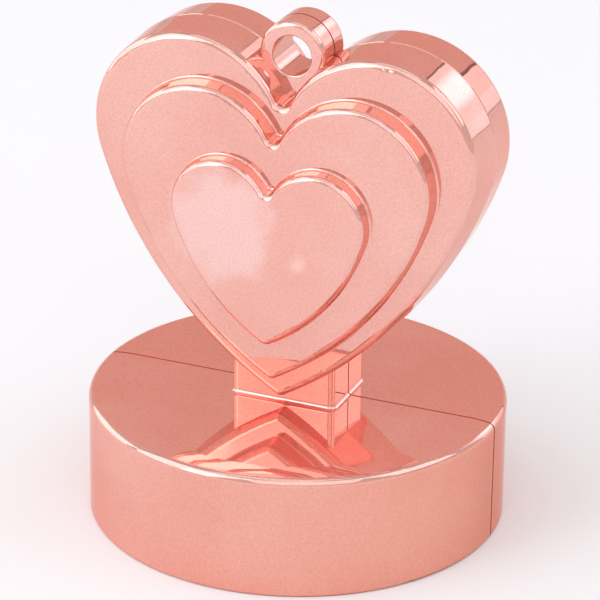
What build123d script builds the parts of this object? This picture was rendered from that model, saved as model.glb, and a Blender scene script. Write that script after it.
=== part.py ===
from build123d import *
from math import atan2, degrees, sqrt
import os

# Balloon weight: a stepped heart with a ribbon eye, on a stem and a round drum.
# Two metallised plastic halves meet on the plane through the heart's edge. They hold
# sand in the drum, and a push-in plug closes the filling hole below.
# Millimetres, Z up, the heart faces -Y, origin at the middle of the drum's underside.

# Moulded halves
wall = 2.2

# Drum
drum_diameter = 75.0
drum_height = 22.8
drum_floor = 2.6
drum_top_radius = 1.4
drum_foot_radius = 0.6
drum_roll_radius = 22.0
drum_roll_drop = 0.5

# Stem between drum and heart
stem_width = 19.4
stem_depth = 14.4
stem_corner_radius = 1.0
stem_root_radius = 0.8

# Heart slab: two lobe arcs run into two side arcs that meet in the tip
heart_width = 72.0
heart_height = 66.8
heart_thickness = 18.6
heart_cleft_depth = 12.4
heart_cleft_radius = 1.0
heart_side_radius = 75.0
heart_tip_radius = 1.6
heart_tip_gap = 0.8
heart_draft_angle = 3.4
heart_edge_radius = 1.4

# Raised hearts on both faces, each with a ledge of the one below beside it
middle_ledge = 7.1
middle_rise = 3.7
inner_ledge = 10.7
inner_rise = 2.8
tier_focus = 26.3
tier_draft_angle = 7.0
tier_edge_radius = 1.1
tier_root_radius = 0.4

# Ribbon eye in the cleft
eye_bore = 7.2
eye_wall = 2.5
eye_thickness = 9.4
eye_rise = 9.0
eye_edge_radius = 1.0
eye_bore_radius = 0.3

# Joint of the halves: tongue in the front one, groove in the back one. Outside, the edges are
# bevelled round the heart, and set back to a narrow gap on the drum, the stem and the eye.
tongue_width = 0.8
tongue_height = 1.0
tongue_clearance = 0.1
seam_bevel = 0.2
seam_depth = 0.4

# Filling hole and plug
plug_spigot_diameter = 12.0
plug_spigot_length = 4.0
plug_head_diameter = 16.0
plug_head_thickness = 1.0
plug_recess = 0.2
plug_bead = 0.3
plug_wall = 1.2
plug_clearance = 0.1

# Sand
sand_clearance = 0.3
sand_headspace = 0.8

# Levels and the heart's construction points, seen from the tiers' common focus
drum_radius = drum_diameter / 2
half_thickness = heart_thickness / 2
focus_level = drum_height + heart_tip_gap + tier_focus
heart_plane = Plane(origin=(0, 0, focus_level), x_dir=(1, 0, 0), z_dir=(0, -1, 0))
half_width = heart_width / 2
middle_ratio = 1 - middle_ledge / half_width
inner_ratio = middle_ratio - inner_ledge / half_width
tip = Vector(0, -tier_focus)
crown_level = heart_height - tier_focus
cleft = Vector(0, crown_level - heart_cleft_depth)
lobe_x = sqrt(2 * half_width * heart_cleft_depth) - heart_cleft_depth
lobe_radius = half_width - lobe_x
lobe_centre = Vector(lobe_x, crown_level - lobe_radius)

# The side arc passes through the tip and touches the lobe arc from outside
tip_to_lobe = lobe_centre - tip
reach = tip_to_lobe.length
touch_radius = heart_side_radius - lobe_radius
along = (heart_side_radius**2 - touch_radius**2 + reach**2) / (2 * reach)
across = sqrt(heart_side_radius**2 - along**2)
along_unit = tip_to_lobe.normalized()
across_unit = Vector(-along_unit.Y, along_unit.X)
side_centre = tip + along_unit * along + across_unit * across


def bearing(centre, point):
    """Angle in degrees at which a point is seen from a centre."""
    return degrees(atan2(point.Y - centre.Y, point.X - centre.X))


def heart(ratio, inset):
    """A heart similar to the slab's about the focus, drawn in by an inset, cleft and tip rounded."""
    side = side_centre * ratio
    side_arc = heart_side_radius * ratio - inset
    side_start = bearing(side, Vector(0, side.Y - sqrt(side_arc**2 - side.X**2)))
    lobe = lobe_centre * ratio
    lobe_arc = lobe_radius * ratio - inset
    notch_arc = heart_cleft_radius + inset
    notch = Vector(0, lobe.Y + sqrt((lobe_arc + notch_arc) ** 2 - lobe.X**2))
    notch_start = bearing(notch, lobe)
    notch_end = bearing(notch, notch - Vector(0, notch_arc))
    touch = bearing(side, lobe)
    with BuildSketch() as face:
        with BuildLine():
            CenterArc(side, side_arc, side_start, touch - side_start)
            CenterArc(lobe, lobe_arc, touch, bearing(lobe, notch) - touch)
            CenterArc(notch, notch_arc, notch_start, notch_end - notch_start)
            mirror(about=Plane.YZ)
        make_face()
        fillet(face.vertices().sort_by(Axis.Y)[0], heart_tip_radius)
    return face.sketch


middle_depth = half_thickness + middle_rise
inner_depth = middle_depth + inner_rise
tiers = ((middle_ratio, half_thickness, middle_rise), (inner_ratio, middle_depth, inner_rise))

# The stem ends inside the heart, a wall above the place where its side meets the side arc
stem_offset = stem_width / 2 - side_centre.X
side_level = side_centre.Y - sqrt(heart_side_radius**2 - stem_offset**2)
stem_rise = heart_tip_gap + tier_focus + side_level + wall

# Front of the heart: slab and two raised hearts, drafted away from the parting plane
with BuildPart() as heart_front:
    with BuildSketch(heart_plane):
        add(heart(1, 0))
    extrude(amount=half_thickness, taper=heart_draft_angle)
    fillet(faces().sort_by(Axis.Y)[0].edges(), heart_edge_radius)
    for ratio, level, rise in tiers:
        with BuildSketch(heart_plane.offset(level)):
            add(heart(ratio, 0))
        extrude(amount=rise, taper=tier_draft_angle)
        tier_root = edges(Select.LAST).filter_by_position(Axis.Y, -level, -level)
        fillet(tier_root, tier_root_radius)
        fillet(faces().sort_by(Axis.Y)[0].edges(), tier_edge_radius)

# Front of the ribbon eye: a ring whose web runs down into the cleft
eye_level = cleft.Y + eye_rise
eye_radius = eye_bore / 2 + eye_wall
with BuildPart() as eye_front:
    with BuildSketch(heart_plane):
        with BuildLine():
            CenterArc((0, eye_level), eye_radius, 0, 360)
            Line((0, eye_level), (0, cleft.Y - eye_wall))
        make_hull()
    extrude(amount=eye_thickness / 2)
    fillet(faces().sort_by(Axis.Y)[0].edges(), eye_edge_radius)

# Outside of the front half: drum, stem, heart and bored eye, cut at the parting plane.
# The drum's top is flat in the middle and rolls gently down to its rounded rim.
roll_width = sqrt(drum_roll_drop * (2 * drum_roll_radius - drum_roll_drop))
flat_end = (drum_radius - roll_width, drum_height)
rim_corner = (drum_radius, drum_height - drum_roll_drop)
with BuildPart() as outside:
    with BuildSketch(Plane.XZ) as drum_profile:
        with BuildLine():
            Polyline(flat_end, (0, drum_height), (0, 0), (drum_radius, 0), rim_corner)
            TangentArc(flat_end, rim_corner, tangent=(1, 0))
        make_face()
        fillet(drum_profile.vertices().sort_by_distance(rim_corner)[0], drum_top_radius)
        fillet(drum_profile.vertices().sort_by_distance((drum_radius, 0))[0], drum_foot_radius)
    revolve(axis=Axis.Z)
    with BuildSketch(Plane.XY.offset(drum_height)):
        RectangleRounded(stem_width, stem_depth, stem_corner_radius)
    extrude(amount=stem_rise)
    stem_root = edges(Select.LAST).filter_by_position(Axis.Z, drum_height, drum_height)
    fillet(stem_root, stem_root_radius)
    split(bisect_by=Plane.XZ)
    add(heart_front.part)
    add(eye_front.part)
    with Locations(heart_plane):
        with Locations((0, eye_level)):
            Hole(eye_bore / 2)
    bore_rim = edges(Select.LAST).sort_by(Axis.Y)[0]
    fillet(bore_rim, eye_bore_radius)
    parting_face = faces().sort_by(Axis.Y)[-1]

# Outline of the joint, laid flat
with BuildSketch() as outline:
    add(Plane.XZ.to_local_coords(Face(parting_face.outer_wire())))


def outline_band(start, end):
    """The strip of the joint's outline that lies between two insets from the outside."""
    with BuildSketch() as band:
        add(offset(outline.sketch, amount=-start, mode=Mode.PRIVATE))
        add(offset(outline.sketch, amount=-end, mode=Mode.PRIVATE), mode=Mode.SUBTRACT)
    return band.sketch


tongue_inset = (wall - tongue_width) / 2
tongue_end = tongue_inset + tongue_width
tongue_band = outline_band(tongue_inset, tongue_end)
groove_band = outline_band(tongue_inset - tongue_clearance, tongue_end + tongue_clearance)

# Room inside the front half: sand chamber in the drum, empty stem and stepped heart
with BuildPart() as inside:
    with BuildSketch(Plane.XY.offset(drum_floor)):
        Circle(drum_radius - wall)
    extrude(amount=drum_height - drum_floor - wall)
    with BuildSketch(Plane.XY.offset(drum_height)):
        Rectangle(stem_width - 2 * wall, stem_depth - 2 * wall)
    extrude(amount=stem_rise)
    for ratio, depth in ((1, half_thickness), (middle_ratio, middle_depth), (inner_ratio, inner_depth)):
        with BuildSketch(heart_plane):
            add(heart(ratio, wall))
        extrude(amount=depth - wall)

# One hollow half. The outer edge of its joint is bevelled, and set back everywhere but on the heart.
lobe_zone = (drum_radius + eye_radius) / 2 + 2 * seam_bevel
crown = focus_level + crown_level
with BuildPart() as half:
    add(outside.part)
    add(inside.part, mode=Mode.SUBTRACT)
    joint_edges = faces().sort_by(Axis.Y)[-1].outer_wire().edges()
    chamfer(joint_edges, seam_bevel)
    with BuildSketch(Plane.XZ):
        add(outline_band(-seam_bevel, seam_depth))
        with Locations((lobe_zone, crown), (-lobe_zone, crown)):
            Rectangle(drum_radius - eye_radius, 2 * (crown_level - side_level), mode=Mode.SUBTRACT)
    extrude(amount=seam_bevel, mode=Mode.SUBTRACT)

# Filling hole on the joint, with a seat for the plug's head
plug_seat = plug_recess + plug_head_thickness
with BuildPart() as filling_hole:
    with BuildSketch():
        Circle(plug_head_diameter / 2 + plug_clearance)
    extrude(amount=plug_seat)
    with BuildSketch():
        Circle(plug_spigot_diameter / 2 + plug_clearance)
    extrude(amount=drum_floor)

os.makedirs("parts", exist_ok=True)

# Front half, with the tongue standing out of its joint
with BuildPart() as front_shell:
    add(half.part)
    with BuildSketch(Plane.XZ):
        add(tongue_band)
    extrude(amount=-tongue_height)
    add(filling_hole.part, mode=Mode.SUBTRACT)
front_shell.part.label = "front_shell"
export_step(front_shell.part, "parts/front_shell.step")

# Back half, the same moulding mirrored, with the groove for the tongue
with BuildPart() as back_shell:
    mirror(half.part, about=Plane.XZ)
    with BuildSketch(Plane.XZ):
        add(groove_band)
    extrude(amount=-(tongue_height + tongue_clearance), mode=Mode.SUBTRACT)
    add(filling_hole.part, mode=Mode.SUBTRACT)
back_shell.part.label = "back_shell"
export_step(back_shell.part, "parts/back_shell.step")

# Soft plug, dished from below: head in its seat, spigot in the hole, bead behind the floor
dish_radius = plug_spigot_diameter / 2 - plug_wall
dish_depth = plug_head_thickness + plug_spigot_length - plug_wall
with BuildPart() as filler_plug:
    with BuildSketch(Plane.XZ):
        with Locations((0, plug_recess)):
            Rectangle(plug_head_diameter / 2, plug_head_thickness, align=Align.MIN)
        with Locations((0, plug_seat)):
            Rectangle(plug_spigot_diameter / 2, plug_spigot_length, align=Align.MIN)
        with Locations((plug_spigot_diameter / 2, drum_floor + plug_clearance + plug_bead)):
            Circle(plug_bead)
        with Locations((0, plug_recess)):
            Rectangle(dish_radius, dish_depth, align=Align.MIN, mode=Mode.SUBTRACT)
    revolve(axis=Axis.Z)
filler_plug.part.label = "filler_plug"
export_step(filler_plug.part, "parts/filler_plug.step")

# Sand, settled on the floor round the plug
with BuildPart() as ballast:
    with BuildSketch(Plane.XY.offset(drum_floor)):
        Circle(drum_radius - wall - sand_clearance)
    extrude(amount=drum_height - drum_floor - wall - sand_headspace)
    with BuildSketch(Plane.XY.offset(drum_floor)):
        Circle(plug_spigot_diameter / 2 + plug_bead + sand_clearance)
    extrude(amount=plug_seat + plug_spigot_length + sand_clearance - drum_floor, mode=Mode.SUBTRACT)
ballast.part.label = "ballast"
export_step(ballast.part, "parts/ballast.step")
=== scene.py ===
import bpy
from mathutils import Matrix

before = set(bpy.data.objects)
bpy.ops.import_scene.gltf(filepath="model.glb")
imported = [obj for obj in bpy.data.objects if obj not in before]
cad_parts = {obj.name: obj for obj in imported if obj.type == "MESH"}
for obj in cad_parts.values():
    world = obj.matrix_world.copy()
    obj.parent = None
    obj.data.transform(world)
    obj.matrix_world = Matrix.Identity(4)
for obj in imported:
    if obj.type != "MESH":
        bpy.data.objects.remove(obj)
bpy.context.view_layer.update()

from math import cos, pi, radians, sin

import bpy
from mathutils import Matrix, Vector

# Front and back shell: two thin plastic mouldings with heart, stem, drum and ribbon eye.
# They are coated in a vacuum with aluminium under a rose lacquer, which mirrors the
# room in pink, and are welded together along the middle of the heart's edge.
shell_metal = 0.85
shell_edge_tint = (0.93, 0.66, 0.60, 1.0)

rose_gold = bpy.data.materials.new("rose_gold_metallised")
rose_gold.use_nodes = True
shell_nodes = rose_gold.node_tree.nodes
shell_links = rose_gold.node_tree.links
shell_shader = shell_nodes["Principled BSDF"]
shell_shader.inputs["Metallic"].default_value = shell_metal
shell_shader.inputs["Specular Tint"].default_value = shell_edge_tint
shell_place = shell_nodes.new("ShaderNodeTexCoord").outputs["Object"]


def coat_noise(scale, detail, roughness=0.5):
    """Noise that is fixed to the shells, with its scale per metre."""
    noise = shell_nodes.new("ShaderNodeTexNoise")
    noise.inputs["Scale"].default_value = scale
    noise.inputs["Detail"].default_value = detail
    noise.inputs["Roughness"].default_value = roughness
    shell_links.new(shell_place, noise.inputs["Vector"])
    return noise.outputs["Fac"]


def tone_ramp(nodes, stops):
    """A ramp of tones, each given as its position and its colour."""
    ramp = nodes.new("ShaderNodeValToRGB")
    tones = ramp.color_ramp.elements
    tones[0].position, tones[0].color = stops[0]
    tones[1].position, tones[1].color = stops[-1]
    for position, colour in stops[1:-1]:
        tones.new(position).color = colour
    return ramp


# The coat is a little thicker in some places than in others, so the rose drifts.
coat_cloud_scale = 38.0
coat_cloud_detail = 3.0
coat_cloud_roughness = 0.55
coat_deep = (0.40, (0.895, 0.455, 0.385, 1.0))
coat_pale = (0.62, (0.92, 0.51, 0.44, 1.0))
coat_tone = tone_ramp(shell_nodes, (coat_deep, coat_pale))
coat_cloud = coat_noise(coat_cloud_scale, coat_cloud_detail, coat_cloud_roughness)
shell_links.new(coat_cloud, coat_tone.inputs["Fac"])

# Painted shade on the drum's wall below its top: its coat is multiplied by a tint that is
# lightest near the left end and grows darker and warmer towards the right, standing for the
# shade on that side.
drum_shade_left = (0.0, (0.985, 0.945, 0.91, 1.0))
drum_shade_least = (0.14, (1.0, 0.995, 0.985, 1.0))
drum_shade_middle = (0.5, (0.97, 0.865, 0.80, 1.0))
drum_shade_right = (0.95, (0.955, 0.79, 0.70, 1.0))
drum_radius = 0.0375
drum_wall_top = 0.0222
drum_wall_fade = 0.0012
shell_spot = shell_nodes.new("ShaderNodeSeparateXYZ")
drum_shade_across = shell_nodes.new("ShaderNodeMapRange")
drum_shade_across.inputs["From Min"].default_value = -drum_radius
drum_shade_across.inputs["From Max"].default_value = drum_radius
drum_painted_shade = tone_ramp(
    shell_nodes, (drum_shade_left, drum_shade_least, drum_shade_middle, drum_shade_right))
drum_wall_shade_mask = shell_nodes.new("ShaderNodeMapRange")
drum_wall_shade_mask.inputs["From Min"].default_value = drum_wall_top
drum_wall_shade_mask.inputs["From Max"].default_value = drum_wall_top - drum_wall_fade
# Multiplies the painted shade into the coat, on the drum's wall only.
drum_shaded_coat = shell_nodes.new("ShaderNodeMix")
drum_shaded_coat.data_type = "RGBA"
drum_shaded_coat.blend_type = "MULTIPLY"
shell_links.new(shell_place, shell_spot.inputs["Vector"])
shell_links.new(shell_spot.outputs["X"], drum_shade_across.inputs["Value"])
shell_links.new(drum_shade_across.outputs["Result"], drum_painted_shade.inputs["Fac"])
shell_links.new(drum_painted_shade.outputs["Color"], drum_shaded_coat.inputs["B"])
shell_links.new(shell_spot.outputs["Z"], drum_wall_shade_mask.inputs["Value"])
shell_links.new(drum_wall_shade_mask.outputs["Result"], drum_shaded_coat.inputs["Factor"])
shell_links.new(coat_tone.outputs["Color"], drum_shaded_coat.inputs["A"])


def pale_place(coat, pale, middle, drift, drift_reach, fade_start, fade_end):
    """The coat with a paler place round a middle. A drifting noise makes its edge ragged."""
    distance = shell_nodes.new("ShaderNodeVectorMath")
    distance.operation = "DISTANCE"
    distance.inputs[1].default_value = middle
    edge = shell_nodes.new("ShaderNodeMath")
    edge.operation = "MULTIPLY_ADD"
    edge.inputs[1].default_value = drift_reach
    fade = shell_nodes.new("ShaderNodeMapRange")
    fade.interpolation_type = "SMOOTHSTEP"
    fade.inputs["From Min"].default_value = fade_start
    fade.inputs["From Max"].default_value = fade_end
    tone = shell_nodes.new("ShaderNodeMix")
    tone.data_type = "RGBA"
    tone.inputs["B"].default_value = pale
    shell_links.new(shell_place, distance.inputs[0])
    shell_links.new(drift, edge.inputs[0])
    shell_links.new(distance.outputs["Value"], edge.inputs[2])
    shell_links.new(edge.outputs["Value"], fade.inputs["Value"])
    shell_links.new(fade.outputs["Result"], tone.inputs["Factor"])
    shell_links.new(coat, tone.inputs["A"])
    return tone.outputs["Result"]


# Left of the front heart's middle is a painted highlight: the coat is paler in a soft cloud,
# standing for the blurred reflection of a brighter patch.
highlight_pale = (0.97, 0.62, 0.575, 1.0)
highlight_middle = (-0.0085, -0.0158, 0.0585)
highlight_drift_scale = 130.0
highlight_drift_detail = 3.0
highlight_drift_reach = 0.0125
highlight_fade_start = 0.01875
highlight_fade_end = 0.0125
highlight_drift = coat_noise(highlight_drift_scale, highlight_drift_detail)
# Mixes the painted highlight into the coat.
highlighted_coat = pale_place(
    drum_shaded_coat.outputs["Result"], highlight_pale, highlight_middle,
    highlight_drift, highlight_drift_reach, highlight_fade_start, highlight_fade_end)

# Beside that cloud the coat is paler in a small spot.
spot_pale = (0.97, 0.605, 0.535, 1.0)
spot_middle = (0.0061, -0.0158, 0.0534)
spot_drift_scale = 330.0
spot_drift_detail = 2.0
spot_drift_reach = 0.0062
spot_fade_start = 0.005704
spot_fade_end = 0.00279
spot_drift = coat_noise(spot_drift_scale, spot_drift_detail)
spotted_coat = pale_place(
    highlighted_coat, spot_pale, spot_middle,
    spot_drift, spot_drift_reach, spot_fade_start, spot_fade_end)

# Fine specks of dust under the lacquer break up the mirror.
speck_scale = 2600.0
speck_detail = 1.0
speck_dark = (0.36, (0.92, 0.90, 0.89, 1.0))
speck_clear = (0.62, (1.0, 1.0, 1.0, 1.0))
speck_tone = tone_ramp(shell_nodes, (speck_dark, speck_clear))
specked_coat = shell_nodes.new("ShaderNodeMix")
specked_coat.data_type = "RGBA"
specked_coat.blend_type = "MULTIPLY"
specked_coat.inputs["Factor"].default_value = 1.0
shell_links.new(coat_noise(speck_scale, speck_detail), speck_tone.inputs["Fac"])
shell_links.new(spotted_coat, specked_coat.inputs["A"])
shell_links.new(speck_tone.outputs["Color"], specked_coat.inputs["B"])
shell_links.new(specked_coat.outputs["Result"], shell_shader.inputs["Base Color"])

# Handling leaves a faint haze on the mirror, in soft patches.
haze_scale = 55.0
haze_detail = 5.0
haze_roughness = 0.6
haze_thin_at = 0.45
haze_thick_at = 0.75
mirror_roughness = 0.03
hazed_roughness = 0.085
haze = shell_nodes.new("ShaderNodeMapRange")
haze.inputs["From Min"].default_value = haze_thin_at
haze.inputs["From Max"].default_value = haze_thick_at
haze.inputs["To Min"].default_value = mirror_roughness
haze.inputs["To Max"].default_value = hazed_roughness
haze_cloud = coat_noise(haze_scale, haze_detail, haze_roughness)
shell_links.new(haze_cloud, haze.inputs["Value"])
shell_links.new(haze.outputs["Result"], shell_shader.inputs["Roughness"])

# The moulded plastic under the coat is never quite flat: shrinkage leaves long low
# waves, and the lacquer dries with a fine skin.
mould_wave_scale = 95.0
mould_wave_detail = 1.0
mould_wave_depth = 0.000016
lacquer_skin_scale = 1400.0
lacquer_skin_detail = 2.0
lacquer_skin_depth = 0.0000012
mould_bump = shell_nodes.new("ShaderNodeBump")
mould_bump.inputs["Strength"].default_value = 1.0
mould_bump.inputs["Distance"].default_value = mould_wave_depth
lacquer_bump = shell_nodes.new("ShaderNodeBump")
lacquer_bump.inputs["Strength"].default_value = 1.0
lacquer_bump.inputs["Distance"].default_value = lacquer_skin_depth
mould_wave = coat_noise(mould_wave_scale, mould_wave_detail)
lacquer_skin = coat_noise(lacquer_skin_scale, lacquer_skin_detail)
shell_links.new(mould_wave, mould_bump.inputs["Height"])
shell_links.new(lacquer_skin, lacquer_bump.inputs["Height"])
shell_links.new(mould_bump.outputs["Normal"], lacquer_bump.inputs["Normal"])
shell_links.new(lacquer_bump.outputs["Normal"], shell_shader.inputs["Normal"])
for shell in ("front_shell", "back_shell"):
    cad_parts[shell].data.materials[0] = rose_gold

# Ballast: dry washed sand, poured into the drum through the hole in its floor.
# Its grains are quartz, buff and a few dark ones, each a fraction of a millimetre.
grain_dark = (0.06, (0.22, 0.16, 0.11, 1.0))
grain_buff = (0.12, (0.60, 0.46, 0.30, 1.0))
grain_quartz = (0.95, (0.80, 0.72, 0.60, 1.0))
grains_per_metre = 2400.0
grain_height = 0.0002
grain_relief = 0.8
sand_roughness = 0.85

dry_sand = bpy.data.materials.new("dry_sand")
dry_sand.use_nodes = True
sand_nodes = dry_sand.node_tree.nodes
sand_links = dry_sand.node_tree.links
sand_shader = sand_nodes["Principled BSDF"]
sand_shader.inputs["Roughness"].default_value = sand_roughness
sand_place = sand_nodes.new("ShaderNodeTexCoord")
grains = sand_nodes.new("ShaderNodeTexVoronoi")
grains.inputs["Scale"].default_value = grains_per_metre
grain_tone = tone_ramp(sand_nodes, (grain_dark, grain_buff, grain_quartz))
grain_bump = sand_nodes.new("ShaderNodeBump")
grain_bump.invert = True
grain_bump.inputs["Strength"].default_value = grain_relief
grain_bump.inputs["Distance"].default_value = grain_height
sand_links.new(sand_place.outputs["Object"], grains.inputs["Vector"])
sand_links.new(grains.outputs["Color"], grain_tone.inputs["Fac"])
sand_links.new(grain_tone.outputs["Color"], sand_shader.inputs["Base Color"])
sand_links.new(grains.outputs["Distance"], grain_bump.inputs["Height"])
sand_links.new(grain_bump.outputs["Normal"], sand_shader.inputs["Normal"])
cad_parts["ballast"].data.materials[0] = dry_sand

# Filler plug: a dished push-in plug of soft milky polyethylene, moulded in one shot.
# It is pressed into the filling hole after the sand and snaps in behind the floor.
plug_cloud = (0.35, (0.74, 0.71, 0.65, 1.0))
plug_milk = (0.6, (0.84, 0.82, 0.77, 1.0))
plug_flow_scale = 260.0
plug_flow_detail = 4.0
plug_sheen_roughness = 0.35
plug_dull_roughness = 0.55
plug_grain_scale = 2600.0
plug_grain_relief = 0.6
plug_grain_height = 0.00003

milky_plug = bpy.data.materials.new("milky_polyethylene")
milky_plug.use_nodes = True
plug_nodes = milky_plug.node_tree.nodes
plug_links = milky_plug.node_tree.links
plug_shader = plug_nodes["Principled BSDF"]
plug_place = plug_nodes.new("ShaderNodeTexCoord")
plug_flow = plug_nodes.new("ShaderNodeTexNoise")
plug_flow.inputs["Scale"].default_value = plug_flow_scale
plug_flow.inputs["Detail"].default_value = plug_flow_detail
plug_tone = tone_ramp(plug_nodes, (plug_cloud, plug_milk))
plug_rough = plug_nodes.new("ShaderNodeMapRange")
plug_rough.inputs["To Min"].default_value = plug_sheen_roughness
plug_rough.inputs["To Max"].default_value = plug_dull_roughness
plug_grain = plug_nodes.new("ShaderNodeTexNoise")
plug_grain.inputs["Scale"].default_value = plug_grain_scale
plug_bump = plug_nodes.new("ShaderNodeBump")
plug_bump.inputs["Strength"].default_value = plug_grain_relief
plug_bump.inputs["Distance"].default_value = plug_grain_height
plug_links.new(plug_place.outputs["Object"], plug_flow.inputs["Vector"])
plug_links.new(plug_place.outputs["Object"], plug_grain.inputs["Vector"])
plug_links.new(plug_flow.outputs["Fac"], plug_tone.inputs["Fac"])
plug_links.new(plug_tone.outputs["Color"], plug_shader.inputs["Base Color"])
plug_links.new(plug_flow.outputs["Fac"], plug_rough.inputs["Value"])
plug_links.new(plug_rough.outputs["Result"], plug_shader.inputs["Roughness"])
plug_links.new(plug_grain.outputs["Fac"], plug_bump.inputs["Height"])
plug_links.new(plug_bump.outputs["Normal"], plug_shader.inputs["Normal"])
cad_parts["filler_plug"].data.materials[0] = milky_plug

# Studio table: a wide round of matt white card that the weight stands on, swept up at its rim
# into a low cove. It lies a hair below the drum, so that the two faces don't share one plane.
table_white = (0.89, 0.89, 0.89, 1.0)
table_roughness = 0.9
table_gloss = 0.2
table_radius = 2.9
table_level = -0.00003
table_turns = 96
cove_radius = 0.5
cove_steps = 10

table_points = []
for step in range(cove_steps + 1):
    rise = pi / 2 * step / cove_steps
    reach = table_radius + cove_radius * sin(rise)
    height = table_level + cove_radius * (1 - cos(rise))
    for turn in range(table_turns):
        way = 2 * pi * turn / table_turns
        table_points.append((reach * cos(way), reach * sin(way), height))
table_faces = [tuple(range(table_turns))]
for step in range(cove_steps):
    for turn in range(table_turns):
        here = step * table_turns + turn
        beside = step * table_turns + (turn + 1) % table_turns
        table_faces.append((here, here + table_turns, beside + table_turns, beside))
table_mesh = bpy.data.meshes.new("table")
table_mesh.from_pydata(table_points, [], table_faces)
table_mesh.polygons.foreach_set("use_smooth", [True] * len(table_faces))
table = bpy.data.objects.new("table", table_mesh)
bpy.context.collection.objects.link(table)
table_card = bpy.data.materials.new("white_card")
table_card.use_nodes = True
table_shader = table_card.node_tree.nodes["Principled BSDF"]
table_shader.inputs["Base Color"].default_value = table_white
table_shader.inputs["Roughness"].default_value = table_roughness
table_shader.inputs["Specular IOR Level"].default_value = table_gloss
table_mesh.materials.append(table_card)

# Studio walls: painted pale grey, a little deeper on the ceiling, with a sheet of rose paper
# hung behind the weight, which the coat mirrors on the drum's top and the heart's crown, and
# a pool of cool daylight on the wall beside that paper.
wall_grey = (0.5, (0.69, 0.69, 0.69, 1.0))
ceiling_grey = (0.9, (0.54, 0.54, 0.54, 1.0))
paper_rose = (0.78, 0.55, 0.505, 1.0)
paper_way = (-0.12, 0.88, 0.46)
paper_outer_angle = radians(48.0)
paper_inner_angle = radians(33.0)
pool_light = (0.50, 1.02, 1.28, 1.0)
pool_way = (0.40, 0.81, 0.43)
pool_outer_angle = radians(12.0)
pool_inner_angle = radians(2.0)

studio = bpy.data.worlds.new("studio")
bpy.context.scene.world = studio
studio.use_nodes = True
studio_nodes = studio.node_tree.nodes
studio_links = studio.node_tree.links
look_way = studio_nodes.new("ShaderNodeTexCoord").outputs["Generated"]
look_parts = studio_nodes.new("ShaderNodeSeparateXYZ")
wall_tone = tone_ramp(studio_nodes, (wall_grey, ceiling_grey))
studio_links.new(look_way, look_parts.inputs["Vector"])
studio_links.new(look_parts.outputs["Z"], wall_tone.inputs["Fac"])


def wall_patch(wall, blend, tone, way, outer_angle, inner_angle):
    """The wall with a soft round patch of another tone in one direction."""
    nearness = studio_nodes.new("ShaderNodeVectorMath")
    nearness.operation = "DOT_PRODUCT"
    nearness.inputs[1].default_value = way
    edge = studio_nodes.new("ShaderNodeMapRange")
    edge.interpolation_type = "SMOOTHSTEP"
    edge.inputs["From Min"].default_value = cos(outer_angle)
    edge.inputs["From Max"].default_value = cos(inner_angle)
    patched = studio_nodes.new("ShaderNodeMix")
    patched.data_type = "RGBA"
    patched.blend_type = blend
    patched.inputs["B"].default_value = tone
    studio_links.new(look_way, nearness.inputs[0])
    studio_links.new(nearness.outputs["Value"], edge.inputs["Value"])
    studio_links.new(edge.outputs["Result"], patched.inputs["Factor"])
    studio_links.new(wall, patched.inputs["A"])
    return patched.outputs["Result"]


papered_wall = wall_patch(
    wall_tone.outputs["Color"], "MIX", paper_rose, paper_way,
    paper_outer_angle, paper_inner_angle)
lit_wall = wall_patch(
    papered_wall, "ADD", pool_light, pool_way, pool_outer_angle, pool_inner_angle)
studio_links.new(lit_wall, studio_nodes["Background"].inputs["Color"])

# Softboxes: broad ones in front and on the left with a strip between them, a low one at the
# far left, one on the right, one behind and one overhead. Each is a white cloth panel that
# faces the weight, and the one behind burns cooler than the rest.
softbox_aim = Vector((0.0, 0.0, 0.045))
daylight = (0.94, 0.98, 1.06)
skylight = (0.70, 1.0, 1.18)
for name, place, width, height, glow, light in (
        ("front_softbox", (0.85, -1.65, 1.50), 2.3, 2.1, 0.75, daylight),
        ("left_softbox", (-1.44, -1.39, 1.36), 2.3, 2.3, 1.3, daylight),
        ("strip_softbox", (-1.19, -1.84, 1.02), 0.68, 1.38, 2.0, daylight),
        ("side_softbox", (-2.28, 0.32, 0.71), 1.75, 1.35, 1.3, daylight),
        ("right_softbox", (1.80, 0.24, 1.60), 1.7, 1.6, 1.1, daylight),
        ("back_softbox", (1.09, 1.97, 0.80), 1.25, 1.60, 0.68, skylight),
        ("top_softbox", (-0.10, -0.35, 2.40), 1.7, 1.3, 0.50, daylight)):
    panel = bpy.data.lights.new(name, "AREA")
    panel.shape = "RECTANGLE"
    panel.size = width
    panel.size_y = height
    panel.energy = glow * pi * width * height
    panel.color = light
    softbox = bpy.data.objects.new(name, panel)
    bpy.context.collection.objects.link(softbox)
    softbox.location = place
    facing = softbox_aim - softbox.location
    softbox.rotation_euler = facing.to_track_quat("-Z", "Y").to_euler()

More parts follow.
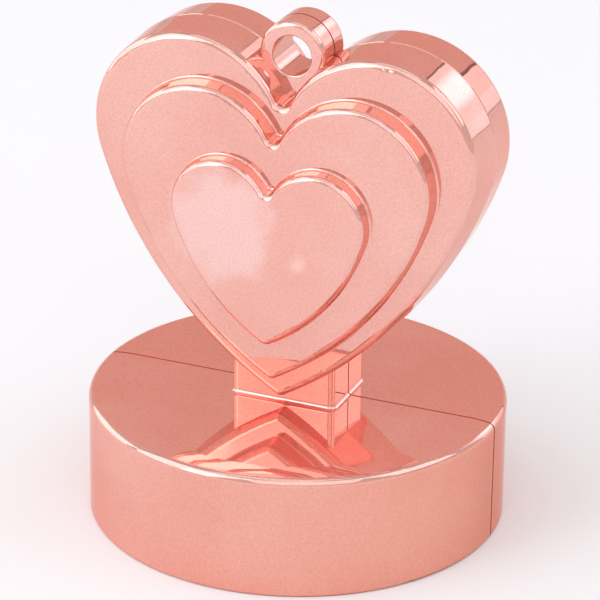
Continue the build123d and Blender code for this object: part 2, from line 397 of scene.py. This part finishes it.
# Softbox hem: the dark cloth edge on the left side of the softbox behind the weight, sewn to
# its panel. The coat mirrors it as a thin dark line beside the panel's own image.
hem_dark = (0.17, 0.10, 0.09, 1.0)
hem_roughness = 0.95
hem_width = 0.055
back_softbox = bpy.data.objects["back_softbox"]
hem_inner = back_softbox.data.size / 2
hem_outer = hem_inner + hem_width
hem_top = back_softbox.data.size_y / 2

hem_mesh = bpy.data.meshes.new("softbox_hem")
hem_mesh.from_pydata(
    [(hem_inner, -hem_top, 0), (hem_outer, -hem_top, 0),
     (hem_outer, hem_top, 0), (hem_inner, hem_top, 0)],
    [], [(0, 1, 2, 3)])
hem = bpy.data.objects.new("softbox_hem", hem_mesh)
bpy.context.collection.objects.link(hem)
hem.location = back_softbox.location
hem.rotation_euler = back_softbox.rotation_euler
hem.visible_camera = False
hem_cloth = bpy.data.materials.new("dark_hem_cloth")
hem_cloth.use_nodes = True
hem_shader = hem_cloth.node_tree.nodes["Principled BSDF"]
hem_shader.inputs["Base Color"].default_value = hem_dark
hem_shader.inputs["Roughness"].default_value = hem_roughness
hem_mesh.materials.append(hem_cloth)

# Camera: a long lens on a stand, right of the heart's middle and above it, at the
# photograph's viewing angle. It is tipped a little to one side, as it was there.
camera_azimuth = radians(22.413)
camera_elevation = radians(23.9)
camera_roll = radians(0.72)
camera_distance = 0.612561
camera_aim = Vector((0.0, 0.0, 0.039489))
camera_side = 0.000168
camera_focal_length = 206.97
camera_sensor_width = 36.0

lens = bpy.data.cameras.new("camera")
lens.lens = camera_focal_length
lens.sensor_width = camera_sensor_width
level = cos(camera_elevation)
away = Vector((
    sin(camera_azimuth) * level, -cos(camera_azimuth) * level, sin(camera_elevation)))
right = Vector((cos(camera_azimuth), sin(camera_azimuth), 0))
up = away.cross(right)
rolled_right = right * cos(camera_roll) + up * sin(camera_roll)
rolled_up = up * cos(camera_roll) - right * sin(camera_roll)
camera_turn = Matrix((rolled_right, rolled_up, away)).transposed().to_4x4()
camera_place = camera_aim + right * camera_side + away * camera_distance
camera = bpy.data.objects.new("camera", lens)
bpy.context.collection.objects.link(camera)
camera.matrix_world = Matrix.Translation(camera_place) @ camera_turn
bpy.context.scene.camera = camera
bpy.context.scene.view_settings.view_transform = "Standard"
